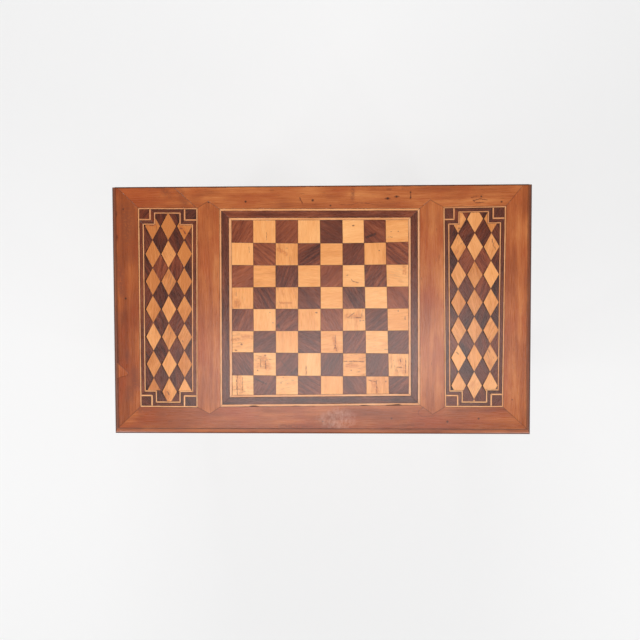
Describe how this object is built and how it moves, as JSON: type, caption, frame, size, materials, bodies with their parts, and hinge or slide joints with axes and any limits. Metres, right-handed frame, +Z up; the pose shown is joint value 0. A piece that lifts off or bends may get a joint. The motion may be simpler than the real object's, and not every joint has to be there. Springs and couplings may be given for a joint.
{
  "type": "games table",
  "caption": "Games table with an inlaid chessboard between lozenge panels in a framed top, tapered legs and a lockable drawer with ring pulls for the chessmen.",
  "frame": {"origin": "on the floor under the middle of the top", "axes": "+X along the front to the right, +Y to the back, +Z up"},
  "size_m": [0.946, 0.561, 0.74],
  "materials": {
    "cherry": "waxed old cherry",
    "maple": "waxed light inlay",
    "walnut": "waxed dark inlay",
    "pine": "bare aged softwood",
    "brass": "aged brass",
    "iron": "dark worn iron"
  },
  "bodies": {
    "table": {"top_front_rail": "cherry", "top_back_rail": "cherry", "top_left_end": "cherry", "top_right_end": "cherry", "top_left_stile": "cherry", "top_right_stile": "cherry", "front_edge_moulding": "cherry", "left_edge_moulding": "cherry", "right_edge_moulding": "cherry", "front_left_leg": "cherry", "front_right_leg": "cherry", "back_left_leg": "cherry", "back_right_leg": "cherry", "left_apron": "cherry", "right_apron": "cherry", "back_apron": "cherry", "lower_drawer_rail": "cherry", "upper_drawer_rail": "cherry", "joint_pegs": "cherry", "chess_light_squares": "maple", "left_light_lozenges": "maple", "right_light_lozenges": "maple", "chess_outer_strings": "maple", "chess_inner_strings": "maple", "panel_outer_strings": "maple", "panel_inner_strings": "maple", "chess_dark_squares": "walnut", "left_dark_lozenges": "walnut", "right_dark_lozenges": "walnut", "chess_bands": "walnut", "panel_bands": "walnut", "panel_corner_squares": "walnut", "chess_ground_panel": "pine", "left_ground_panel": "pine", "right_ground_panel": "pine", "left_drawer_runner": "pine", "right_drawer_runner": "pine", "left_tilt_rail": "pine", "right_tilt_rail": "pine", "drawer_guides": "pine", "drawer_stops": "pine", "glue_blocks": "pine", "top_screws": "iron"},
    "drawer": {"drawer_front": "cherry", "drawer_left_side": "pine", "drawer_right_side": "pine", "drawer_back": "pine", "drawer_bottom": "pine", "pull_rosettes": "brass", "pull_posts": "brass", "pull_nuts": "brass", "lock_case": "iron", "lock_screws": "iron", "keyhole_escutcheon": "brass", "escutcheon_pins": "brass"},
    "left_ring": {"left_pull_ring": "brass"},
    "right_ring": {"right_pull_ring": "brass"},
    "bolt": {"lock_bolt": "iron"},
    "turning_key": {"key": "iron"}
  },
  "joints": [
    {"name": "drawer_slide", "type": "slide", "parent": "table", "child": "drawer", "axis": [0, -1, 0], "range_m": [0, 0.32]},
    {"name": "left_ring_swing", "type": "hinge", "parent": "drawer", "child": "left_ring", "pos_m": [-0.215, -0.2535, 0.661], "axis": [-1, 0, 0], "range_deg": [-10, 190]},
    {"name": "right_ring_swing", "type": "hinge", "parent": "drawer", "child": "right_ring", "pos_m": [0.215, -0.2535, 0.661], "axis": [-1, 0, 0], "range_deg": [-10, 190]},
    {"name": "key_turn", "type": "hinge", "parent": "drawer", "child": "turning_key", "pos_m": [0, -0.2455, 0.671], "axis": [0, 1, 0], "range_deg": [0, 180]},
    {"name": "bolt_slide", "type": "slide", "parent": "drawer", "child": "bolt", "axis": [0, 0, 1], "range_m": [0, 0.008]}
  ],
  "couplings": [
    {"joint": "bolt_slide", "follows": "key_turn", "m_per_rad": 0.002546}
  ]
}
